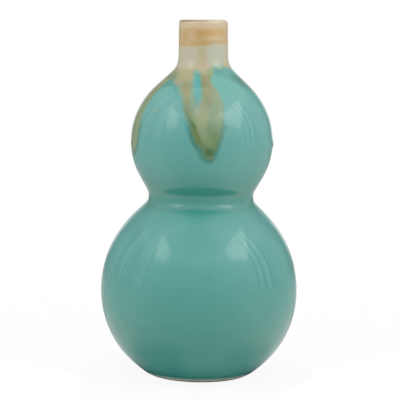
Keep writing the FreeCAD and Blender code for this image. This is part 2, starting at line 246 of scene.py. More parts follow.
def surface(turn, along, lift=0.0):
    """Points of the glazed wall, or of a layer that is lifted off it, in millimetres."""
    turn, along = np.broadcast_arrays(turn, along)
    out, up, reach_here, height = (np.interp(along, ALONG, row) for row in WALL)
    away = lift + unevenness(turn, along, height)
    reach_here = reach_here + away * out
    still = 1 - smoothstep(STILL_START, WALL_END, along)
    height = height + away * up
    aside = sway(height) * still
    dip = RIM_DIP * (np.sin(turn) - 1) * smoothstep(BAND_START, LIP_START, along) * still
    return np.stack([reach_here * np.sin(turn) + aside, -reach_here * np.cos(turn), height + dip], axis=-1)


TURN_STEP = 0.002
ALONG_STEP = 0.1


def normals(place, turn, along):
    """Directions square to a surface, from where it goes to both sides of each point."""
    across = place(turn + TURN_STEP, along) - place(turn - TURN_STEP, along)
    upward = place(turn, along + ALONG_STEP) - place(turn, along - ALONG_STEP)
    square = np.cross(across, upward)
    return square / np.linalg.norm(square, axis=-1, keepdims=True)


def curve(points, count):
    """A smooth line through points, as count points."""
    knots = np.array(points, float)
    knots = np.vstack([2 * knots[0] - knots[1], knots, 2 * knots[-1] - knots[-2]])
    spots = np.linspace(0, len(points) - 1, count)
    span = np.minimum(spots.astype(int), len(points) - 2)
    share = (spots - span)[:, None]
    a, b, c, d = (knots[span + step] for step in range(4))
    return b + 0.5 * share * (c - a + share * (2 * a - 5 * b + 4 * c - d + share * (3 * (b - c) + d - a)))


# Runs of glaze over the upper bulb. Each edge goes down to the tip, as turns in degrees and heights.
RUN_TOP = NECK_LOW + 8
FRONT_LEFT = [
    (-64, RUN_TOP), (-60, 205), (-53, 202), (-45, 199.8), (-36, 197.4), (-28.5, 195), (-24.7, 192.5),
    (-21.5, 189.6), (-18.8, 185.4), (-15.6, 180.2), (-12.7, 176), (-9.5, 171.8), (-7.5, 166.5),
    (-4.6, 161.7), (-0.6, 157.4), (2.8, 152.8), (6.6, 149.9),
]
FRONT_RIGHT = [
    (16, RUN_TOP), (14.5, 206.5), (11.8, 203.1), (12.3, 198.1), (15.9, 193.1), (19.2, 187), (19.3, 180.7),
    (17.1, 175.6), (15.6, 170.2), (14.2, 164.5), (12, 160), (10.6, 156), (9, 152.4), (6.6, 149.9),
]
LEFT_RIGHT = [
    (-48, RUN_TOP), (-50, 206), (-56, 201), (-61, 197), (-62, 193.1), (-62, 188.8), (-62.7, 183),
    (-63.2, 177), (-62.3, 171.4), (-62.4, 166.1), (-62.8, 160.8), (-65, 155.9), (-70, 152.5), (-76, 150.6),
]
LEFT_LEFT = [
    (-100, RUN_TOP), (-104, 198), (-99, 186), (-97, 176), (-93, 165), (-87, 156), (-82, 151.8),
    (-76, 150.6),
]
BACK_RIGHT = [(166, RUN_TOP), (163, 200), (161, 186), (160, 174), (157, 165.5), (151.5, 162)]
BACK_LEFT = [(130, RUN_TOP), (136, 200), (140, 186), (143.5, 174), (146, 165.5), (151.5, 162)]
RUNS = {
    "front": (FRONT_LEFT, FRONT_RIGHT, 0.0),
    "left": (LEFT_LEFT, LEFT_RIGHT, -82.0),
    "back": (BACK_LEFT, BACK_RIGHT, 150.0),
}
RUN_POINTS = 60


def run_edge(points):
    """An edge of a run as turns in radians and distances along the wall."""
    return curve([(radians(turn), along_at(height)) for turn, height in points], RUN_POINTS)


def across_from(turn, along, middle):
    """The distance round the wall from a turn, the short way."""
    return ((turn - middle + pi) % (2 * pi) - pi) * np.interp(along, ALONG, REACH)


def inside_distance(corners, across, along):
    """How far inside an outline each point is, and below zero outside it."""
    nearest = np.full(across.shape, 1e6)
    inside = np.zeros(across.shape, bool)
    for (x0, y0), (x1, y1) in zip(corners, np.roll(corners, -1, axis=0)):
        dx, dy = x1 - x0, y1 - y0
        share = np.clip(((across - x0) * dx + (along - y0) * dy) / (dx * dx + dy * dy + 1e-9), 0, 1)
        nearest = np.minimum(nearest, np.hypot(across - x0 - share * dx, along - y0 - share * dy))
        if dy:
            inside ^= ((y0 > along) != (y1 > along)) & (across < x0 + dx * (along - y0) / dy)
    return np.where(inside, nearest, -nearest)


def run_distance(side, turn, along):
    left, right, middle = RUNS[side]
    edges = np.concatenate([run_edge(left), run_edge(right)[::-1]])
    corners = np.stack([across_from(edges[:, 0], edges[:, 1], radians(middle)), edges[:, 1]], axis=1)
    return inside_distance(corners, across_from(turn, along, radians(middle)), along)


# The lower edge of the pale glaze round the neck, and of the brown band, as heights by turn in degrees.
CREAM_EDGE = {
    -172: 205.5, -150: 207, -128: 204, -106: 206.5, -88: 207, -70: 207.3, -55.6: 207.2, -44.6: 206.8,
    -30: 206.6, -20: 207, -2.6: 207.4, 8: 207.6, 17: 209, 30: 210.4, 44: 210, 59: 208.5, 78: 206.5,
    100: 206.5, 124: 204.5, 150: 202.5, 170: 204.5,
}
BAND_EDGE = {
    -150: 223.3, -95: 221.8, -50: 221.9, -12: 222.1, 8: 222.6, 14: 223.6, 55: 224.3, 110: 222.7, 160: 222.0,
}


def round_edge(stations, turn):
    """The height of an edge that goes right round, at each turn."""
    return np.interp(np.degrees(turn), list(stations), list(stations.values()), period=360)


# Marks in the glaze, and one painted reflection above the waist: where each one's middle is, as millimetres
# round the wall from the front and a height, half its width and half its height, how far it leans to the
# right going up, the colour that it has in plain light, how strong it is and how soft its edge is.
MARKS = {
    "run_right": ((9, 180), (4.5, 14), -0.1, (142, 165, 138), 0.7, 0.7),
    "run_pink": ((-10.6, 194), (1.8, 7), -0.09, (162, 153, 118), 0.85, 0.6),
    "run_pinkish": ((-9.6, 182), (1.9, 7), -0.2, (138, 147, 118), 0.75, 0.7),
    "run_mist": ((-6.6, 190), (1.5, 9), 0, (140, 170, 148), 0.8, 0.6),
    "run_lilac": ((-3.0, 181.5), (2.2, 4), 0, (160, 174, 160), 0.75, 0.8),
    "run_tan": ((3.0, 196), (2.3, 10), 0, (152, 152, 115), 0.85, 0.6),
    "run_tan_wide": ((7.0, 192), (3, 5), -0.2, (150, 157, 120), 0.6, 0.8),
    "run_moss_top": ((4.9, 204.7), (0.9, 5.5), 0, (130, 165, 118), 0.8, 0.7),
    "run_cyan_top": ((-3.7, 203.5), (2.8, 5), 0, (116, 177, 162), 0.85, 0.4),
    "run_cyan": ((-3.3, 194.9), (2.7, 13.5), -0.06, (108, 178, 174), 0.95, 0.5),
    "run_cyan_core": ((-3.0, 200), (1.7, 5), 0, (100, 176, 178), 0.4, 0.8),
    "run_orange": ((1.1, 202), (1.2, 1.3), 0, (165, 148, 108), 0.7, 0.7),
    "run_middle": ((0.6, 178), (3.6, 12), 0.1, (164, 171, 137), 0.7, 0.7),
    "run_brown": ((3.8, 187.5), (3.0, 5), 0, (142, 148, 113), 0.6, 0.8),
    "run_left": ((-25, 202), (8, 3.4), 0, (136, 153, 126), 0.85, 0.6),
    "run_moss_edge": ((-9.0, 177), (1.5, 6), -0.4, (104, 140, 112), 0.75, 0.7),
    "run_moss": ((-5.6, 171.6), (1.6, 2.6), -0.3, (88, 120, 72), 0.85, 0.7),
    "run_moss_line": ((-3.4, 166), (1.8, 6.5), -0.45, (112, 130, 82), 0.8, 0.7),
    "run_light": ((2.2, 164.6), (2.4, 3.4), 0, (148, 165, 135), 0.6, 0.8),
    "run_light_low": ((5.0, 161.8), (2.6, 3.6), 0, (134, 154, 116), 0.6, 0.8),
    "run_edge": ((8.6, 163), (1.6, 6.5), 0, (114, 140, 100), 0.6, 0.7),
    "run_eye": ((5.0, 154.6), (3.0, 2.7), 0, (76, 116, 44), 0.9, 0.6),
    "run_rim": ((5.0, 151.2), (3.2, 1.4), 0, (118, 136, 100), 0.6, 0.7),
    "shade_left": ((-4.9, 161), (1.7, 5), -0.45, (36, 128, 114), 0.95, 0.7),
    "shade_tip": ((2.6, 151.2), (3.8, 2.6), -0.3, (66, 130, 114), 0.8, 0.7),
    "shade_blue": ((-10.6, 171), (1.6, 3), -0.3, (88, 166, 172), 0.7, 0.8),
    "shade_side": ((-16.6, 191), (2.4, 8), -0.3, (88, 162, 156), 0.75, 0.8),
    "shade_left_limb": ((-37, 195), (6, 6), 2.0, (100, 150, 136), 0.6, 0.7),
    "shade_right_limb": ((41, 197), (12, 9), -2.0, (96, 146, 134), 0.85, 0.5),
    "shade_far": ((-24, 197.5), (7, 3), 0, (84, 154, 140), 0.75, 0.8),
    "shade_right": ((11.5, 206.2), (8, 3.2), 0, (88, 154, 144), 0.9, 0.8),
    "cream_left": ((-10, 216), (4.5, 7), 0, (192, 186, 166), 0.7, 0.6),
    "cream_stripe": ((-0.3, 214), (2.7, 12), 0, (184, 177, 145), 0.8, 0.5),
    "cream_right": ((9, 217), (6, 6), 0, (186, 190, 171), 0.8, 0.6),
    "cream_pink": ((2.0, 209.8), (4.0, 1.6), 0, (190, 172, 148), 0.7, 0.7),
    "cream_flow": ((-12.4, 203.6), (5.6, 5.6), 0, (177, 171, 130), 0.9, 0.6),
    "cream_moss": ((6.0, 206.0), (1.2, 5.0), 0, (150, 168, 120), 0.8, 0.6),
    "cream_moss_right": ((11.8, 208.4), (2.6, 1.4), 0, (160, 170, 120), 0.7, 0.7),
    "cream_amber": ((18.1, 210), (1.8, 1.6), 0, (196, 170, 118), 0.8, 0.7),
    # Painted reflection: a paler band over the front just above the waist, tuning the dark reflection
    # there.
    "waist_painted_reflection": ((-1, 127), (34, 4.5), 0, (92, 147, 133), 0.8, 0.9),
    "dot_pink_wide": ((-18.2, 198.2), (2.6, 1.8), 0, (160, 160, 140), 0.7, 0.8),
    "dot_pink": ((-16.4, 191.4), (1.2, 1.4), 0, (135, 170, 150), 0.6, 0.8),
    "dot_olive": ((-34.9, 180.6), (2.0, 1.6), 0, (132, 170, 142), 0.7, 0.8),
    "dot_neck": ((4.2, 217.3), (0.45, 0.45), 0, (150, 132, 96), 0.8, 0.6),
    "band_core": ((-1.0, 231), (5.2, 1.9), 0, (182, 148, 98), 0.85, 1),
    "band_core_low": ((-1.0, 224.6), (5.2, 1.5), 0, (184, 152, 104), 0.7, 1),
    "band_middle": ((-1.0, 228), (4.6, 3), 0, (190, 160, 112), 0.6, 1),
    "band_gold": ((8, 231.5), (6, 3), 0, (204, 170, 112), 0.7, 1),
    "band_pale": ((9, 227.6), (6, 1.3), 0, (206, 186, 148), 0.7, 0.9),
    "band_pale_left": ((-8, 229.5), (3, 4), 0, (202, 178, 140), 0.6, 1),
    "band_olive": ((-12.3, 228.5), (1.3, 4.5), 0, (182, 168, 108), 0.6, 0.8),
    "band_rust": ((-14.0, 228), (0.5, 4.5), 0, (204, 150, 92), 0.7, 0.8),
}


MARK_POWER = 2.4
LEAST_FIELD, MOST_FIELD = -30, 400
FLOW_REACH = 30


def mark_field(place, half, lean, turn, along):
    """One in the middle of a mark, zero at its edge and less outside it."""
    rise = along - along_at(place[1])
    aside = across_from(turn, along, 0) - place[0] - lean * rise
    wide, high = np.abs(aside / half[0]) ** MARK_POWER, np.abs(rise / half[1]) ** MARK_POWER
    return 1 - (wide + high) ** (1 / MARK_POWER)


def fields(turn, along):
    """What the colours of the glaze follow at each point, by name."""
    found = {name: mark_field(*mark[:3], turn, along) for name, mark in MARKS.items()}
    found["run"] = np.max([run_distance(side, turn, along) for side in RUNS], axis=0)
    found["cream"] = along - along_at(round_edge(CREAM_EDGE, turn))
    found["band"] = along - along_at(round_edge(BAND_EDGE, turn))
    found["along"] = along
    found["front"] = np.cos(turn)
    return {name: np.clip(field, LEAST_FIELD, MOST_FIELD) for name, field in found.items()}


def add_attributes(mesh, turn, along):
    for name, field in fields(turn, along).items():
        values = mesh.attributes.new(name, "FLOAT", "POINT").data
        values.foreach_set("value", field.astype(np.float32).ravel())
    flow = np.stack([FLOW_REACH * np.sin(turn), -FLOW_REACH * np.cos(turn), along], axis=-1) * MM
    vectors = mesh.attributes.new("flow", "FLOAT_VECTOR", "POINT").data
    vectors.foreach_set("vector", flow.astype(np.float32).ravel())


def make_mesh(name, points, faces, square=None):
    """A piece from points in millimetres; square has normals, zero where faces give their own."""
    mesh = bpy.data.meshes.new(name)
    mesh.from_pydata((np.asarray(points) * MM).tolist(), [], faces)
    mesh.polygons.foreach_set("use_smooth", [True] * len(mesh.polygons))
    mesh.update()
    if square is not None:
        mesh.normals_split_custom_set_from_vertices(square.tolist())
    piece = bpy.data.objects.new(name, mesh)
    bpy.context.scene.collection.objects.link(piece)
    return piece


def finish_piece(piece, node, material):
    piece.data.materials.append(material)
    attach(piece, "root")
    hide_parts(node)


TURNS = 320
ROUND_SHARE = 0.16
LEAST_BEND = 1e-4


def rows_between(start, end, coarse, fine):
    """Distances along the wall from start to end, closer together where the wall is sharply round."""
    spots = np.arange(start, end, FINE)
    bend = np.hypot(np.gradient(OUT_REACH, ALONG), np.gradient(OUT_HEIGHT, ALONG))
    steps = np.clip(ROUND_SHARE / np.maximum(np.interp(spots, ALONG, bend), LEAST_BEND), fine, coarse)
    counted = np.cumsum(FINE / steps)
    wanted = np.linspace(counted[0], counted[-1], int(counted[-1]) + 2)
    rows = np.interp(wanted, counted, spots)
    rows[0], rows[-1] = start, end
    return rows


def ring_faces(rows, columns):
    """Faces between closed rings of points, the last ring joined to the first."""
    faces = []
    for row in range(rows):
        here, there = row * columns, (row + 1) % rows * columns
        for column in range(columns):
            beside = (column + 1) % columns
            faces.append((here + column, here + beside, there + beside, there + column))
    return faces


def glaze_shell(name, node, slot, start, end, under_start, steps, material):
    """A coat of glaze from one distance along the wall to another, closed on its under side."""
    outer = rows_between(start, end, *steps)
    inner = np.linspace(end, under_start, max(3, int((end - under_start) / (4 * steps[0]))))
    turn = np.linspace(0, 2 * pi, TURNS, endpoint=False) + pi
    turns, alongs = np.meshgrid(turn, np.concatenate([outer, inner]))
    lifts = np.concatenate([np.zeros(len(outer)), np.full(len(inner), -COAT)])[:, None]
    points = surface(turns, alongs, lifts).reshape(-1, 3)
    square = normals(surface, turns, alongs)
    square[len(outer):] = 0
    faces = ring_faces(len(alongs), TURNS)
    piece = make_mesh(name, points, faces, square.reshape(-1, 3))
    add_attributes(piece.data, (turns + pi) % (2 * pi) - pi, alongs)
    finish_piece(piece, node, material)


RUN_RAISE = 0.2
RUN_SINK = 0.02
RUN_SHOULDER = 4.5
TIP_RAISE = 0.08
TIP_POOL = 14
RUN_FADE_START = COAT_TOP - 9
RUN_FADE_END = COAT_TOP - 1
RUN_ROWS = 90
RUN_COLUMNS = 40


def glaze_run(side, material):
    """A run of glaze: a thin closed layer that rises smoothly out of the coat."""
    tip = along_at(RUNS[side][0][-1][1])

    def lift(turn, along):
        depth = run_distance(side, turn, along)
        pooled = TIP_RAISE * (1 - smoothstep(tip, tip + TIP_POOL, along))
        raised = (RUN_RAISE + pooled) * smoothstep(0, RUN_SHOULDER, depth)
        return raised * (1 - smoothstep(RUN_FADE_START, RUN_FADE_END, along)) - RUN_SINK

    def place(turn, along):
        return surface(turn, along, lift(turn, along))

    edges = []
    for points in RUNS[side][:2]:
        line = run_edge(points)
        line = line[np.argmax(line[:, 1] < COAT_TOP) - 1:]
        line[0] += (line[1] - line[0]) * (COAT_TOP - line[0, 1]) / (line[1, 1] - line[0, 1])
        scaled = line * [REACH.max(), 1]
        lengths = np.concatenate([[0], np.cumsum(np.hypot(*np.diff(scaled, axis=0).T))])
        spots = np.linspace(0, lengths[-1], RUN_ROWS)
        edges.append(np.stack([np.interp(spots, lengths, column) for column in line.T], axis=1)[:-1])
    share = 0.5 - 0.5 * np.cos(np.linspace(0, pi, RUN_COLUMNS))[None, :, None]
    grid = edges[0][:, None] * (1 - share) + edges[1][:, None] * share
    tip_point = run_edge(RUNS[side][0])[-1]
    turns = np.append(grid[..., 0].ravel(), tip_point[0])
    alongs = np.append(grid[..., 1].ravel(), tip_point[1])
    count = len(turns)
    above = place(turns, alongs)
    below = surface(turns, alongs, -4 * RUN_SINK)
    square = np.concatenate([normals(place, turns, alongs), np.zeros((count, 3))])
    rows = RUN_ROWS - 1
    faces = []
    for row in range(rows - 1):
        for column in range(RUN_COLUMNS - 1):
            corner = row * RUN_COLUMNS + column
            faces.append((corner, corner + RUN_COLUMNS, corner + RUN_COLUMNS + 1, corner + 1))
    last = (rows - 1) * RUN_COLUMNS
    faces += [(last + column, count - 1, last + column + 1) for column in range(RUN_COLUMNS - 1)]
    under = [tuple(corner + count for corner in reversed(face)) for face in faces]
    first_row = list(range(RUN_COLUMNS))
    left_side = [row * RUN_COLUMNS for row in range(rows)]
    right_side = [row * RUN_COLUMNS + RUN_COLUMNS - 1 for row in range(rows)]
    border = first_row + right_side[1:] + [count - 1] + left_side[:0:-1]
    sides = [(a, b, b + count, a + count) for a, b in zip(border, border[1:] + border[:1])]
    points = np.concatenate([above, below])
    piece = make_mesh(side + "_run_layer", points, faces + under + sides, square)
    add_attributes(piece.data, np.tile(turns, 2), np.tile(alongs, 2))
    finish_piece(piece, side + "_glaze_run", material)


LATHE_STEP = 0.2
EASED = np.hanning(9) / np.hanning(9).sum()
# Turning lines: share of the grain, how close they lie and where they start.
RIPPLES = ((0.6, 5.1, 0.0), (0.4, 8.3, 1.3))
AXIS_EASE = 5


def lathe(name, section, grain, closed, turns=TURNS):
    """A piece turned from a section that is closed, or that starts and ends on the axis."""
    line = evenly(np.vstack([section, section[:1]]) if closed else section, LATHE_STEP)
    line = line[:-1] if closed else line
    reached = len(EASED) // 2
    if closed:
        padded = np.pad(line, ((reached, reached), (0, 0)), mode="wrap")
    else:
        padded = np.pad(line, ((reached, reached), (0, 0)), mode="reflect", reflect_type="odd")
    line = np.stack([np.convolve(column, EASED, mode="valid") for column in padded.T], axis=1)
    ahead = np.roll(line, -1, axis=0) - np.roll(line, 1, axis=0) if closed else np.gradient(line, axis=0)
    out = np.stack([ahead[:, 1], -ahead[:, 0]], axis=1) / np.hypot(*ahead.T)[:, None]
    spots = np.arange(len(line)) * LATHE_STEP
    ripple = grain * sum(share * np.sin(spots * close + start) for share, close, start in RIPPLES)
    turn = np.linspace(0, 2 * pi, turns, endpoint=False)
    depth = ripple[:, None] + grain * np.sin(3 * turn + 0.4)
    depth += 0.5 * grain * np.sin(7 * turn + spots[:, None])
    depth = (depth - grain) * np.clip(line[:, :1] / AXIS_EASE, 0, 1)
    reaches = np.maximum(line[:, :1] + out[:, :1] * depth, 0)
    heights = np.maximum(line[:, 1:] + out[:, 1:] * depth, 0)
    points = np.stack([reaches * np.sin(turn), -reaches * np.cos(turn), heights], axis=-1)
    if closed:
        return make_mesh(name, points.reshape(-1, 3), ring_faces(len(line), turns))
    rings = points[1:-1]
    poles = [(0, 0, line[0, 1]), (0, 0, line[-1, 1])]
    faces = ring_faces(len(rings), turns)[:-turns]
    first, last = len(rings) * turns, len(rings) * turns + 1
    for column in range(turns):
        beside = (column + 1) % turns
        faces.append((first, beside, column))
        faces.append((last, first - turns + column, first - turns + beside))
    return make_mesh(name, np.concatenate([rings.reshape(-1, 3), poles]), faces)


def linear(value):
    """A channel of a colour as light, from its value on a screen."""
    value /= 255
    return value / 12.92 if value <= 0.04045 else ((value + 0.055) / 1.055) ** 2.4


SHINE = 0.066
LEAST_PIGMENT = 0.004


def pigment(*colour, shine=SHINE):
    """The colour of a glaze that looks like this in plain light, less what its gloss adds."""
    return [max(linear(value) - shine, LEAST_PIGMENT) for value in colour] + [1]


def plain(*colour):
    return [linear(value) for value in colour] + [1]


class Shading:
    """The nodes of one material or world."""

    def __init__(self, owner):
        owner.use_nodes = True
        self.tree = owner.node_tree
        self.tree.nodes.clear()

    def add(self, kind, inputs=None, **settings):
        node = self.tree.nodes.new("ShaderNode" + kind)
        for name, value in settings.items():
            setattr(node, name, value)
        for socket, value in (inputs or {}).items():
            self.feed(node.inputs[socket], value)
        return node

    def feed(self, socket, value):
        if isinstance(value, bpy.types.NodeSocket):
            self.tree.links.new(value, socket)
        else:
            socket.default_value = value

    def math(self, operation, *values):
        return self.add("Math", dict(enumerate(values)), operation=operation).outputs[0]

    def field(self, name):
        return self.add("Attribute", attribute_name=name).outputs["Fac"]

    def noise(self, size, vector, detail=2.0, rough=0.5):
        """Noise from zero to one, with patches about size millimetres across."""
        inputs = {"Vector": vector, "Scale": 1 / (size * MM), "Detail": detail, "Roughness": rough}
        return self.add("TexNoise", inputs).outputs["Fac"]

    def step(self, low, high, value):
        inputs = {"Value": value, "From Min": low, "From Max": high}
        return self.add("MapRange", inputs, interpolation_type="SMOOTHSTEP").outputs["Result"]

    def part(self, low, high, value, most):
        """A share that goes from none at low to most at high."""
        return self.math("MULTIPLY", self.step(low, high, value), most)

    def ramp(self, value, stops):
        """A smooth curve through levels up to two, given by the values where it has them."""
        low, high = min(stops), max(stops)
        share = self.add("MapRange", {"Value": value, "From Min": low, "From Max": high}).outputs["Result"]
        node = self.add("ValToRGB", {"Fac": share})
        bends = node.color_ramp
        bends.interpolation = "CARDINAL"
        spots = list(stops.items())
        bends.elements[0].position, bends.elements[1].position = 0, 1
        for spot, _ in spots[1:-1]:
            bends.elements.new((spot - low) / (high - low))
        for element, (_, level) in zip(bends.elements, spots):
            element.color = (level / 2, level / 2, level / 2, 1)
        return self.math("MULTIPLY", node.outputs["Color"], 2.0)

    def mix(self, share, first, second):
        node = self.add("Mix", data_type="RGBA")
        for index, value in ((0, share), (6, first), (7, second)):
            self.feed(node.inputs[index], value)
        return node.outputs[2]

    def stretched(self, vector, scale):
        return self.add("VectorMath", {0: vector, 1: scale}, operation="MULTIPLY").outputs[0]


TURQUOISE_DEEP = pigment(88, 148, 137)
# The paler turquoise: partly thin glaze and partly painted light.
TURQUOISE_THIN_LIT = pigment(90, 161, 153)
TURQUOISE_SHADE = pigment(80, 144, 134)
TURQUOISE_UPPER = pigment(104, 167, 160)
# The waist's colour, darkened as painted shade.
TURQUOISE_WAIST_SHADE = pigment(80, 148, 137)
TURQUOISE_PALE = pigment(110, 179, 168)
HALO = pigment(54, 131, 118)
RUN_SHINE = 0.09
RUN_OLIVE = pigment(138, 156, 120, shine=RUN_SHINE)
RUN_GREEN = pigment(134, 160, 128, shine=RUN_SHINE)
RUN_TAN = pigment(152, 155, 118, shine=RUN_SHINE)
RUN_TOP_TAN = pigment(170, 167, 130, shine=RUN_SHINE)
RUN_DARK = pigment(112, 137, 98, shine=0.08)
RUN_TIP = pigment(90, 129, 100, shine=0.07)
CREAM = pigment(188, 184, 161)
CREAM_WARM = pigment(193, 183, 153)
BAND = pigment(198, 172, 128)
BAND_DEEP = pigment(190, 160, 110)
LIP_TAN = pigment(207, 187, 156)
LIP_PALE = pigment(232, 222, 202)
EDGE_COLOUR = pigment(232, 234, 228)
# How pale the turquoise is, by height in metres: pale on the upper sides of the bulbs, deep on the under
# sides.
# This is partly thin and thick glaze and partly painted light and painted shade; the paler foot is painted
# light.
THIN_AND_LIT = {
    0: 0.7, 0.012: 0.5, 0.022: 0.1, 0.035: 0, 0.045: 0.2, 0.06: 0.5, 0.08: 0.85, 0.095: 1, 0.112: 1,
    0.118: 0.6, 0.125: 0, 0.145: 0, 0.152: 0.2, 0.16: 0.5, 0.172: 0.9, 0.19: 1, 0.24: 1,
}
# The same for the upper bulb, paler towards its top, and for the waist, which is darker as painted shade.
# The upper bulb's paling towards its top is partly its own glaze and partly painted light.
UPPER = {0: 0, 0.13: 0, 0.138: 0.25, 0.146: 0.5, 0.154: 0.6, 0.165: 0.75, 0.175: 1, 0.24: 1}
WAIST_SHADE = {0: 0, 0.112: 0, 0.118: 0.9, 0.129: 0.9, 0.138: 0, 0.24: 0}
# How much of each of its colours a run has, by height in metres.
RUN_HIGH = {0: 0, 0.186: 0, 0.201: 1, 0.24: 1}
RUN_LOW = {0: 1, 0.168: 1, 0.178: 0, 0.24: 0}
RUN_LAST = {0: 1, 0.15: 1, 0.155: 0, 0.24: 0}
RUN_STREAKED = {0: 0, 0.166: 0, 0.18: 0.5, 0.196: 0.5, 0.204: 0, 0.24: 0}
EDGE_PALE = (along_at(EDGE_HEIGHT + 0.7), along_at(EDGE_HEIGHT + 2.8))
FADE_START = along_at(180)
FADE_END = along_at(203)
LIP_TAN_START = along_at(233.2)
LIP_TAN_END = along_at(235.6)
LIP_PALE_START = along_at(237.9)
LIP_PALE_END = LIP_PALE_START + 1.8
LIP_PALE_STOP = ALONG[PEAK] + 1.5
LIP_PALE_GONE = LIP_PALE_STOP + 2
HALO_START = along_at(178)
HALO_FULL = along_at(168)
# The edges of the layers: from where to where inside the edge they come in, and how ragged they are.
HALO_RIM = (-4.2, -0.6, 2.0)
RUN_RIM = (-1.9, 1.7, 1.8)
CREAM_RIM = (-2.6, 2.4, 4.0)
BAND_RIM = (-0.5, 0.7, 1.2)
INNER_RIM = (0.5, 3)
FRONT_SHARE = (0.4, 0.7)
# The sizes of the patches that break the colours up, in millimetres.
DRIFT_SIZE = 26
STREAK_SIZE = 2.4
STREAK_STRETCH = (1, 1, 0.14)
GRAIN_SIZE = 3.2
RAGGED_SIZE = 3.6


def glaze_colour(nodes, place, flow):
    """The colour of the glaze outside: turquoise, runs over it, pale round the neck, brown at the lip."""
    drift = nodes.noise(DRIFT_SIZE, place, 3)
    streaks = nodes.noise(STREAK_SIZE, nodes.stretched(flow, STREAK_STRETCH), 3)
    grain = nodes.noise(GRAIN_SIZE, place, 4)
    ragged = nodes.math("SUBTRACT", nodes.noise(RAGGED_SIZE, place, 3), 0.5)
    rise = nodes.add("SeparateXYZ", {0: place}).outputs["Z"]
    along = nodes.field("along")

    def layer(colour, field, low, high, ragged_by, over, strength):
        edge = nodes.math("MULTIPLY_ADD", ragged, ragged_by, nodes.field(field))
        return nodes.mix(nodes.part(low, high, edge, strength), colour, over)

    def marked(colour, kinds, ragged_by=1.0, shine=SHINE):
        """The colour with the marks over it whose names start in one of some ways."""
        for name, (_, half, _, tint, strength, soft) in MARKS.items():
            if name.startswith(kinds):
                over = pigment(*tint, shine=shine)
                colour = layer(colour, name, -soft, soft, ragged_by / min(half), over, strength)
        return colour

    # Paler with height and at the foot: partly the glaze, partly painted light and painted shade.
    colour = nodes.mix(nodes.ramp(rise, THIN_AND_LIT), TURQUOISE_DEEP, TURQUOISE_THIN_LIT)
    colour = nodes.mix(nodes.part(0.55, 0.8, drift, 0.5), colour, TURQUOISE_SHADE)
    # The upper bulb paler towards its top: partly painted light.
    colour = nodes.mix(nodes.ramp(rise, UPPER), colour, TURQUOISE_UPPER)
    # Painted shade: the waist darkened all round.
    colour = nodes.mix(nodes.ramp(rise, WAIST_SHADE), colour, TURQUOISE_WAIST_SHADE)
    colour = nodes.mix(nodes.part(FADE_START, FADE_END, along, 0.85), colour, TURQUOISE_PALE)
    colour = marked(colour, "shade")
    colour = layer(colour, "run", *HALO_RIM, HALO, nodes.step(HALO_START, HALO_FULL, along))
    olive = nodes.mix(nodes.ramp(rise, RUN_HIGH), RUN_OLIVE, RUN_TOP_TAN)
    front = nodes.step(*FRONT_SHARE, nodes.field("front"))
    olive = nodes.mix(nodes.math("MULTIPLY", nodes.ramp(rise, RUN_LOW), front), olive, RUN_DARK)
    olive = nodes.mix(nodes.math("MULTIPLY", nodes.ramp(rise, RUN_LAST), front), olive, RUN_TIP)
    colour = layer(colour, "run", *RUN_RIM, olive, 0.95)
    streaked = nodes.mix(nodes.step(0.35, 0.7, streaks), RUN_GREEN, RUN_TAN)
    inner = nodes.part(*INNER_RIM, nodes.field("run"), nodes.ramp(rise, RUN_STREAKED))
    colour = nodes.mix(inner, colour, streaked)
    colour = marked(colour, "run", shine=RUN_SHINE)
    pale = nodes.mix(nodes.step(0.35, 0.65, streaks), CREAM, CREAM_WARM)
    colour = layer(colour, "cream", *CREAM_RIM, pale, 0.97)
    colour = marked(colour, ("cream", "waist", "dot"))
    band = nodes.mix(nodes.step(0.3, 0.7, streaks), BAND, BAND_DEEP)
    band = nodes.mix(nodes.part(0.35, 0.7, grain, 0.2), band, LIP_TAN)
    colour = layer(colour, "band", *BAND_RIM, band, 0.96)
    colour = marked(colour, "band", 0.8)
    edge = nodes.math("MULTIPLY_ADD", ragged, 3.0, along)
    colour = nodes.mix(nodes.part(LIP_TAN_START, LIP_TAN_END, edge, 0.9), colour, LIP_TAN)
    edge = nodes.math("MULTIPLY_ADD", ragged, 0.5, along)
    rim = nodes.part(LIP_PALE_START, LIP_PALE_END, edge, 0.5)
    rim = nodes.part(LIP_PALE_GONE, LIP_PALE_STOP, edge, rim)
    colour = nodes.mix(rim, colour, LIP_PALE)
    colour = nodes.mix(nodes.part(EDGE_PALE[1], EDGE_PALE[0], edge, 0.85), colour, EDGE_COLOUR)
    mottle = nodes.math("MULTIPLY_ADD", grain, 0.07, 0.965)
    return nodes.add("VectorMath", {0: colour, "Scale": mottle}, operation="SCALE").outputs[0]


# Where the glaze is duller, by height in metres: on the shoulder under the waist.
DULL = {0: 0, 0.102: 0, 0.106: 1, 0.1155: 1, 0.1175: 0, 0.24: 0}
PIMPLE = (21.3, 39.7)
PIMPLE_REACH = 0.9
PIMPLE_FLAT = 0.2
PIMPLE_RISE = 0.12
# Dimples of the fired surface: their size and how strongly they show, and the same for finer ones.
DIMPLES = (9, 0.010)
FINE_DIMPLES = (2.2, 0.0012)
WEAR_SIZE = 14
GLAZE_BEND = 1.68


def pimple_place():
    turn, along = np.array(radians(PIMPLE[0])), np.array(along_at(PIMPLE[1]))
    return Vector(surface(turn, along)) * MM


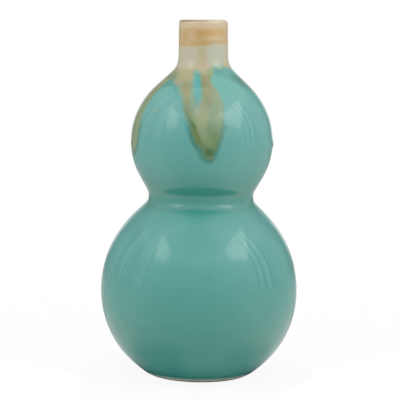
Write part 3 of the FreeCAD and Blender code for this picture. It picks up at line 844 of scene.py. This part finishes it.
def outer_glaze(name):
    """Glossy glaze, with the soft dimples of a fired surface."""
    material = bpy.data.materials.new(name)
    nodes = Shading(material)
    place = nodes.add("TexCoord").outputs["Object"]
    flow = nodes.add("Attribute", attribute_name="flow").outputs["Vector"]
    dimples = nodes.math("MULTIPLY", nodes.noise(DIMPLES[0], place), DIMPLES[1])
    fine = nodes.math("MULTIPLY", nodes.noise(FINE_DIMPLES[0], place), FINE_DIMPLES[1])
    away = nodes.add("VectorMath", {0: place, 1: pimple_place()}, operation="DISTANCE").outputs["Value"]
    pimple = nodes.part(PIMPLE_REACH * MM, PIMPLE_FLAT * MM, away, PIMPLE_RISE)
    height = nodes.math("ADD", nodes.math("ADD", dimples, fine), pimple)
    bump = nodes.add("Bump", {"Height": height, "Distance": MM, "Strength": 1.0}).outputs["Normal"]
    wear = nodes.math("MULTIPLY_ADD", nodes.noise(WEAR_SIZE, place, 3), 0.05, 0.035)
    rise = nodes.add("SeparateXYZ", {0: place}).outputs["Z"]
    wear = nodes.math("MULTIPLY_ADD", nodes.ramp(rise, DULL), 0.16, wear)
    colour = glaze_colour(nodes, place, flow)
    inputs = {"Base Color": colour, "Roughness": wear, "IOR": GLAZE_BEND, "Normal": bump}
    shader = nodes.add("BsdfPrincipled", inputs)
    nodes.add("OutputMaterial", {"Surface": shader.outputs[0]})
    return material


SPECK_DEPTH = 0.55


def earthy(name, first, second, size, roughness, gloss=1.5, bump=0.02):
    """A material of two mottled colours with a grain, for clay, slip and the plain glazes."""
    material = bpy.data.materials.new(name)
    nodes = Shading(material)
    place = nodes.add("TexCoord").outputs["Object"]
    patches = nodes.noise(size, place, 5, 0.6)
    specks = nodes.noise(size / 9, place, 3)
    colour = nodes.mix(nodes.step(0.3, 0.7, patches), first, second)
    speck = [value * SPECK_DEPTH for value in first[:3]] + [1]
    colour = nodes.mix(nodes.part(0.62, 0.75, specks, 0.5), colour, speck)
    height = nodes.add("Bump", {"Height": specks, "Distance": bump * MM, "Strength": 1.0}).outputs["Normal"]
    rough = nodes.math("MULTIPLY_ADD", patches, 0.12, roughness)
    inputs = {"Base Color": colour, "Roughness": rough, "IOR": gloss, "Normal": height}
    shader = nodes.add("BsdfPrincipled", inputs)
    nodes.add("OutputMaterial", {"Surface": shader.outputs[0]})
    return material


CLAY = earthy("stoneware_clay", plain(176, 158, 132), plain(150, 130, 104), 7, 0.72)
SLIP = earthy("joining_slip", plain(190, 176, 152), plain(172, 156, 130), 4, 0.8)
LINING = earthy("lining_glaze", pigment(186, 196, 176), pigment(170, 186, 164), 18, 0.08, 1.55, 0.004)
BASE = earthy("base_glaze", pigment(120, 168, 152), pigment(158, 168, 136), 11, 0.08, 1.6, 0.004)

for node in ("lower_bowl", "lower_dome", "upper_bowl", "upper_dome", "neck"):
    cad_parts[node].data.materials[0] = CLAY
for joint in ("foot", "lower_belly", "waist", "upper_belly", "neck"):
    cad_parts[joint + "_joint_slip"].data.materials[0] = SLIP
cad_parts["interior_glaze"].data.materials[0] = LINING

# The coats: node, slot, where each starts and ends along the wall, where its under side starts, and the
# widest and closest spacing of its rows.
UNDER_START = along_at(2.7)
COATS = {
    "turquoise": ("turquoise_glaze", "turquoise_glaze", 0, COAT_TOP, UNDER_START, (1.25, 0.1)),
    "straw": ("neck_glaze", "straw_glaze", COAT_TOP, BAND_START, COAT_TOP, (0.7, 0.2)),
    "brown": ("lip_band", "iron_brown_glaze", BAND_START, WALL_END, BAND_START, (0.6, 0.15)),
}
for name, coat in COATS.items():
    glaze_shell(name + "_coat", *coat, outer_glaze(name))
olive = outer_glaze("olive")
for side in RUNS:
    glaze_run(side, olive)

FOOT_REACH = 35.0
FOOT_INSIDE = 30.0
FOOT_CHAMFER = 0.5
FOOT_TOP = bottom("foot_joint_slip")
LEDGE = 1.55


def make_foot():
    """The ring that the vase stands on: bare clay with turning lines, drawn in under the glaze."""
    under = [
        (np.interp(spot, ALONG, REACH) - COAT * np.interp(spot, ALONG, OUT_REACH),
         np.interp(spot, ALONG, HEIGHT) - COAT * np.interp(spot, ALONG, OUT_HEIGHT))
        for spot in np.linspace(along_at(2.9), along_at(FOOT_TOP + 0.2), 6)
    ]
    section = [(FOOT_INSIDE, FOOT_TOP), (FOOT_INSIDE, FOOT_CHAMFER), (FOOT_INSIDE + FOOT_CHAMFER, 0)]
    section += [(FOOT_REACH - FOOT_CHAMFER, 0), (FOOT_REACH, FOOT_CHAMFER), (FOOT_REACH + 0.1, LEDGE)]
    section += [(FOOT_REACH + 1.0, LEDGE + 0.25)] + [point for point in under if point[1] < FOOT_TOP]
    section += [(under[-1][0] - 0.3, FOOT_TOP)]
    piece = lathe("turned_foot", np.array(section, float), 0.03, True)
    finish_piece(piece, "foot_ring", CLAY)


BASE_TOP = bottom("lower_bowl")
BASE_CORNER = 1.5
BASE_EDGE = bottom("base_glaze")
BASE_TURNS = 240


def make_base():
    """The glaze under the floor, with its rounded skirt down the inside of the foot."""
    low = BASE_TOP - COAT
    inside = FOOT_INSIDE - COAT
    corner = arc((inside - BASE_CORNER, low - BASE_CORNER), BASE_CORNER, pi / 2, 0)
    section = [(0, low + 0.1), (14, low + 0.05)] + [tuple(point) for point in corner[::6]]
    section += [(inside, BASE_EDGE + 0.2), (FOOT_INSIDE - 0.05, BASE_EDGE), (FOOT_INSIDE, BASE_EDGE + 0.2)]
    section += [(FOOT_INSIDE, BASE_TOP), (0, BASE_TOP)]
    piece = lathe("base_coat", np.array(section, float), 0.02, False, BASE_TURNS)
    finish_piece(piece, "base_glaze", BASE)


make_foot()
make_base()

FLOOR_SIZE = 4.0
FLOOR_COLOUR = (0.94, 0.94, 0.93, 1)
WHITE = (1, 1, 1, 1)
WHITE_SHARE = 0.9
SHADOW_REACH = (0.12, 0.42)

# How bright the sheets round the vase are in its glaze, by turn and by height in degrees. The floor
# follows the turn too, and its distance from the axis in metres, and is dark close to the foot as a painted
# shadow. Close to the vase it is darker by turn, within NEAR_REACH, also a painted shadow, and farther off
# behind the vase it is paler, from PALE_FROM to PALE_UP_TO.
ROUND = {
    -180: 0.5, -160: 0.38, -148: 0.4, -140: 0.53, -130: 0.72, -120: 0.86, -110: 0.96, -100: 1.04, -80: 1.2,
    -62: 1.2, -44: 1.07, -28: 0.99, 0: 1, 17: 1.06, 33: 1.2, 49: 1.32, 66: 1.42, 85: 1.32, 95: 1.24,
    107: 1.08, 120: 0.95, 131: 0.8, 140: 0.56, 146: 0.4, 152: 0.38, 160: 0.4, 180: 0.5,
}
RISING = {0: 1, 7: 1.07, 13: 1.12, 20: 1.18, 27: 1.25, 34: 1.42, 40: 1.6, 47: 1.5, 60: 1.44, 90: 1.4}
NEAR_SHADOW_ROUND = {
    -180: 1, -110: 1, -90: 0.85, -75: 0.7, -60: 0.6, -47: 0.58, -38: 0.55, -19: 0.64, -10: 1,
    0: 1, 15: 1.04, 22: 0.95, 34: 0.68, 42: 0.58, 57: 0.6, 75: 0.68, 90: 0.82, 110: 1, 180: 1,
}
NEAR_REACH = (0.092, 0.058)
PALE_TURNS = (130, 152)
PALE_FROM = (0.12, 0.32)
PALE_UP_TO = (1.1, 0.3)
PALE_LEVEL = 0.3
NEAR_FLOOR_SHADOW = {0.036: 0, 0.042: 0.2, 0.047: 0.38, 0.055: 0.6, 0.065: 0.75, 0.08: 0.85, 0.14: 1}


def facing(nodes, vector):
    """The turn of a direction in degrees, and the parts of it."""
    parts = nodes.add("SeparateXYZ", {0: vector}).outputs
    front = nodes.math("MULTIPLY", parts["Y"], -1.0)
    return nodes.math("DEGREES", nodes.math("ARCTAN2", parts["X"], front)), parts


def make_floor():
    """A pale floor that stays white to the camera and keeps the vase's shadow close to it."""
    half = FLOOR_SIZE / 2 / MM
    corners = [(-half, -half, 0), (half, -half, 0), (half, half, 0), (-half, half, 0)]
    floor = make_mesh("floor", corners, [(0, 1, 2, 3)])
    material = bpy.data.materials.new("floor")
    nodes = Shading(material)
    place = nodes.add("TexCoord").outputs["Object"]
    away = nodes.add("VectorMath", {0: place}, operation="LENGTH").outputs["Value"]
    turn, _ = facing(nodes, place)
    path = nodes.add("LightPath").outputs
    white = nodes.math("MAXIMUM", nodes.step(*SHADOW_REACH, away), WHITE_SHARE)
    share = nodes.math("MULTIPLY", white, path["Is Camera Ray"])
    share = nodes.math("MAXIMUM", share, path["Is Glossy Ray"])
    # To glossy rays the floor only glows, so its darkening close to the vase is a painted shadow.
    mirrored = nodes.math("MULTIPLY", nodes.ramp(turn, ROUND), nodes.ramp(away, NEAR_FLOOR_SHADOW))
    shaded = nodes.part(*NEAR_REACH, away, nodes.math("SUBTRACT", 1.0, nodes.ramp(turn, NEAR_SHADOW_ROUND)))
    mirrored = nodes.math("MULTIPLY", mirrored, nodes.math("SUBTRACT", 1.0, shaded))
    pale = nodes.part(*PALE_FROM, away, nodes.step(*PALE_UP_TO, away))
    pale = nodes.part(*PALE_TURNS, nodes.math("ABSOLUTE", turn), pale)
    mirrored = nodes.math("MULTIPLY_ADD", pale, PALE_LEVEL, mirrored)
    strength = nodes.math("MAXIMUM", mirrored, path["Is Camera Ray"])
    glow = nodes.add("Emission", {"Color": WHITE, "Strength": strength}).outputs[0]
    matt = nodes.add("BsdfDiffuse", {"Color": FLOOR_COLOUR}).outputs[0]
    shader = nodes.add("MixShader", {0: share, 1: matt, 2: glow})
    nodes.add("OutputMaterial", {"Surface": shader.outputs[0]})
    floor.data.materials.append(material)


WORLD_LEVEL = 1.0
# Paler parts of the sheets behind the vase: turns from the front, heights, and level.
BEHIND = ((152, 161), (18, 8), 0.88)
STRIP = ((150, 178), (68, 24), 0.82)
# Folds in the sheets at the sides: where they come in and go out by turn and by height, and how deep.
FOLD_TURNS = ((60, 75), (130, 118))
FOLD_HEIGHTS = ((-2, 4), (65, 50))
FOLD_DEPTH = 0.2
FOLD_WIDTH = 0.17


def make_world():
    """White to the camera; in reflections, pale sheets with hanging folds that are darker at the back."""
    world = bpy.data.worlds.new("studio")
    bpy.context.scene.world = world
    nodes = Shading(world)
    turn, parts = facing(nodes, nodes.add("TexCoord").outputs["Generated"])
    side = nodes.math("ABSOLUTE", turn)
    rise = nodes.math("DEGREES", nodes.math("ARCSINE", parts["Z"]))

    def between(edges, value):
        return nodes.part(*edges[0], value, nodes.step(*edges[1], value))

    inputs = {"W": turn, "Scale": FOLD_WIDTH, "Detail": 1.0}
    line = nodes.add("TexNoise", inputs, noise_dimensions="1D").outputs["Fac"]
    hung = nodes.math("MULTIPLY", between(FOLD_TURNS, side), between(FOLD_HEIGHTS, rise))
    sheet = nodes.math("MULTIPLY", nodes.math("SUBTRACT", nodes.step(0.35, 0.65, line), 0.5), hung)
    folds = nodes.math("MULTIPLY_ADD", sheet, 2 * FOLD_DEPTH, 1.0)
    mirrored = nodes.math("MULTIPLY", nodes.ramp(turn, ROUND), nodes.ramp(rise, RISING))
    mirrored = nodes.math("MULTIPLY", mirrored, folds)
    for turns, heights, level in (BEHIND, STRIP):
        paler = nodes.part(*turns, side, nodes.part(*heights, rise, level))
        mirrored = nodes.math("MAXIMUM", mirrored, paler)
    path = nodes.add("LightPath").outputs
    change = nodes.math("SUBTRACT", mirrored, WORLD_LEVEL)
    level = nodes.math("MULTIPLY_ADD", path["Is Glossy Ray"], change, WORLD_LEVEL)
    clear = nodes.math("MAXIMUM", path["Is Camera Ray"], path["Is Transmission Ray"])
    strength = nodes.math("MULTIPLY_ADD", clear, nodes.math("SUBTRACT", 1.0, level), level)
    background = nodes.add("Background", {"Color": WHITE, "Strength": strength})
    nodes.add("OutputWorld", {"Surface": background.outputs[0]})


# The lit panels beside the vase, in upright planes this far to each side: corners as distances to the
# back and heights in metres, and the level. Then how softly each edge ends, from the first corner on.
PANEL_AWAY = 0.33
PANEL_SIZE = 0.9
PANEL_HEIGHT = 0.45
PANELS = {
    "left": (-1, [(-0.38, 0.355), (-0.20, 0.29), (-0.115, 0.52), (-0.33, 0.54)], 1.0),
    "left_glow": (-1, [(-0.5, 0.25), (-0.15, 0.2), (-0.1, 0.5), (-0.35, 0.6)], 0.35),
    "right": (1, [(-0.175, 0.27), (0.05, 0.51), (-0.41, 0.62), (-0.39, 0.41)], 1.0),
    "right_glow": (1, [(-0.175, 0.17), (0.10, 0.45), (-0.55, 0.7), (-0.55, 0.25)], 0.6),
}
PANEL_EDGES = {
    "left": (0.06, 0.012, 0.02, 0.08),
    "left_glow": (0.1, 0.05, 0.1, 0.1),
    "right": (0.02, 0.05, 0.06, 0.03),
    "right_glow": (0.1, 0.1, 0.1, 0.1),
}


def make_panel(name, side, corners, level):
    """A soft panel that faces the vase from one side, as bright as level times white inside its corners."""
    data = bpy.data.lights.new(name, "AREA")
    data.shape = "SQUARE"
    data.size = PANEL_SIZE
    data.energy = level * pi * PANEL_SIZE**2
    nodes = Shading(data)
    parts = nodes.add("SeparateXYZ", {0: nodes.add("NewGeometry").outputs["Position"]}).outputs
    share = 1.0
    for (y0, z0), (y1, z1), edge in zip(corners, corners[1:] + corners[:1], PANEL_EDGES[name]):
        length = sqrt((y1 - y0) ** 2 + (z1 - z0) ** 2)
        slope_y, slope_z = (z0 - z1) / length, (y1 - y0) / length
        depth = nodes.math("MULTIPLY_ADD", parts["Y"], slope_y, -slope_y * y0 - slope_z * z0)
        depth = nodes.math("MULTIPLY_ADD", parts["Z"], slope_z, depth)
        share = nodes.math("MULTIPLY", nodes.step(-edge, edge, depth), share)
    glow = nodes.add("Emission", {"Color": WHITE, "Strength": share})
    nodes.add("OutputLight", {"Surface": glow.outputs[0]})
    lamp = bpy.data.objects.new(name, data)
    bpy.context.scene.collection.objects.link(lamp)
    lamp.location = (side * PANEL_AWAY, -PANEL_SIZE / 4, PANEL_HEIGHT)
    lamp.rotation_euler = (pi / 2, 0, side * pi / 2)
    lamp.visible_camera = False


LENS = 144.96
SENSOR = 36
CAMERA_PLACE = (-0.00047, -1.085, 0.245)
CAMERA_PITCH = radians(6.665)
CAMERA_ROLL = radians(0.78)


def make_camera():
    data = bpy.data.cameras.new("camera")
    data.sensor_width = SENSOR
    data.lens = LENS
    camera = bpy.data.objects.new("camera", data)
    bpy.context.scene.collection.objects.link(camera)
    turned = Matrix.Rotation(pi / 2 - CAMERA_PITCH, 4, "X") @ Matrix.Rotation(CAMERA_ROLL, 4, "Z")
    camera.matrix_world = Matrix.Translation(CAMERA_PLACE) @ turned
    bpy.context.scene.camera = camera


make_floor()
make_world()
for name, panel in PANELS.items():
    make_panel(name, *panel)
make_camera()
bpy.context.scene.view_settings.view_transform = "Standard"
